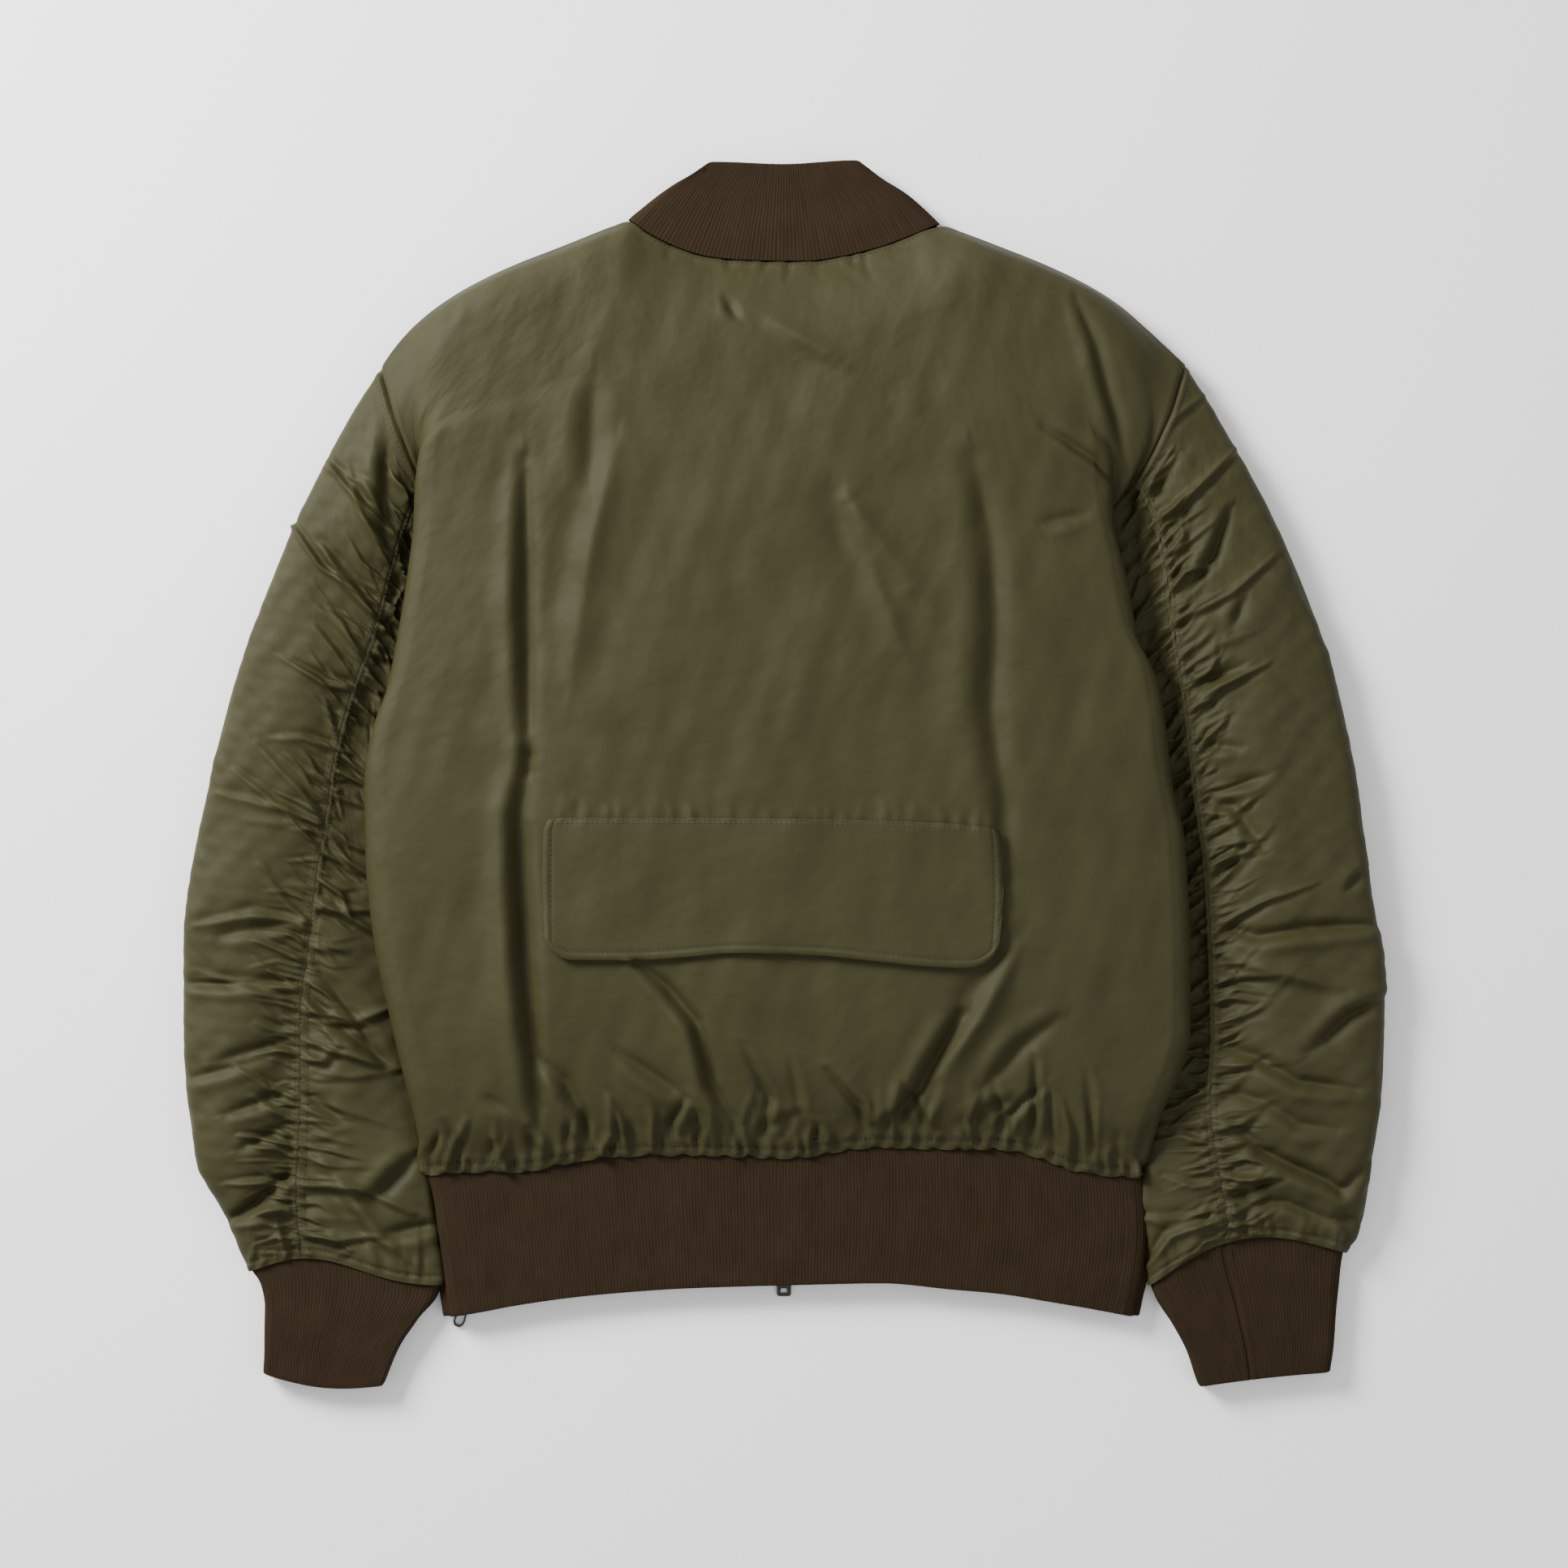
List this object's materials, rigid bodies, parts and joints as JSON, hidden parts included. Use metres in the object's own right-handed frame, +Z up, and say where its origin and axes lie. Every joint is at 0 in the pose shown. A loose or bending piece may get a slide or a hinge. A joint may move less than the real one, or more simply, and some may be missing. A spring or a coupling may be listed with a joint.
{
  "type": "bomber jacket",
  "caption": "Bomber jacket laid face down: shell with gathered sleeve seams, rib collar, cuffs and hem, back pocket flap, front zip and hem side zip with turning pull tabs.",
  "frame": {"origin": "middle of the bounding box at table height, under the jacket's middle line", "axes": "+X to the wearer's right, +Y to the collar, +Z up from the table"},
  "size_m": [0.7854, 0.8011, 0.0457],
  "materials": {
    "shell": "satin woven shell cloth, olive",
    "rib_knit": "fine rib knit, dark brown",
    "zip_tape": "woven zip tape with its chain, dark",
    "zip_metal": "dark gunmetal zip slider and pull"
  },
  "bodies": {
    "jacket": {"back_panel": "shell", "front_panel_left": "shell", "front_panel_right": "shell", "sleeve_left_outer": "shell", "sleeve_left_under": "shell", "sleeve_right_outer": "shell", "sleeve_right_under": "shell", "pocket_flap": "shell", "cuff_left": "rib_knit", "cuff_right": "rib_knit", "collar": "rib_knit", "hem_band": "rib_knit", "hem_front_left": "rib_knit", "front_zip_tape_left": "zip_tape", "front_zip_tape_right": "zip_tape", "side_zip_tape_outer": "zip_tape", "side_zip_tape_inner": "zip_tape", "front_zip_slider": "zip_metal", "side_zip_slider": "zip_metal"},
    "front_pull": {"front_zip_pull": "zip_metal"},
    "side_pull": {"side_zip_pull": "zip_metal"}
  },
  "joints": [
    {"name": "front_pull_turn", "type": "hinge", "parent": "jacket", "child": "front_pull", "pos_m": [0, -0.324, 0.0023], "axis": [1, 0, 0], "range_deg": [0, 171]},
    {"name": "side_pull_turn", "type": "hinge", "parent": "jacket", "child": "side_pull", "pos_m": [-0.20993, -0.35069, 0.0023], "axis": [0.9272, -0.3746, 0], "range_deg": [0, 171]}
  ]
}
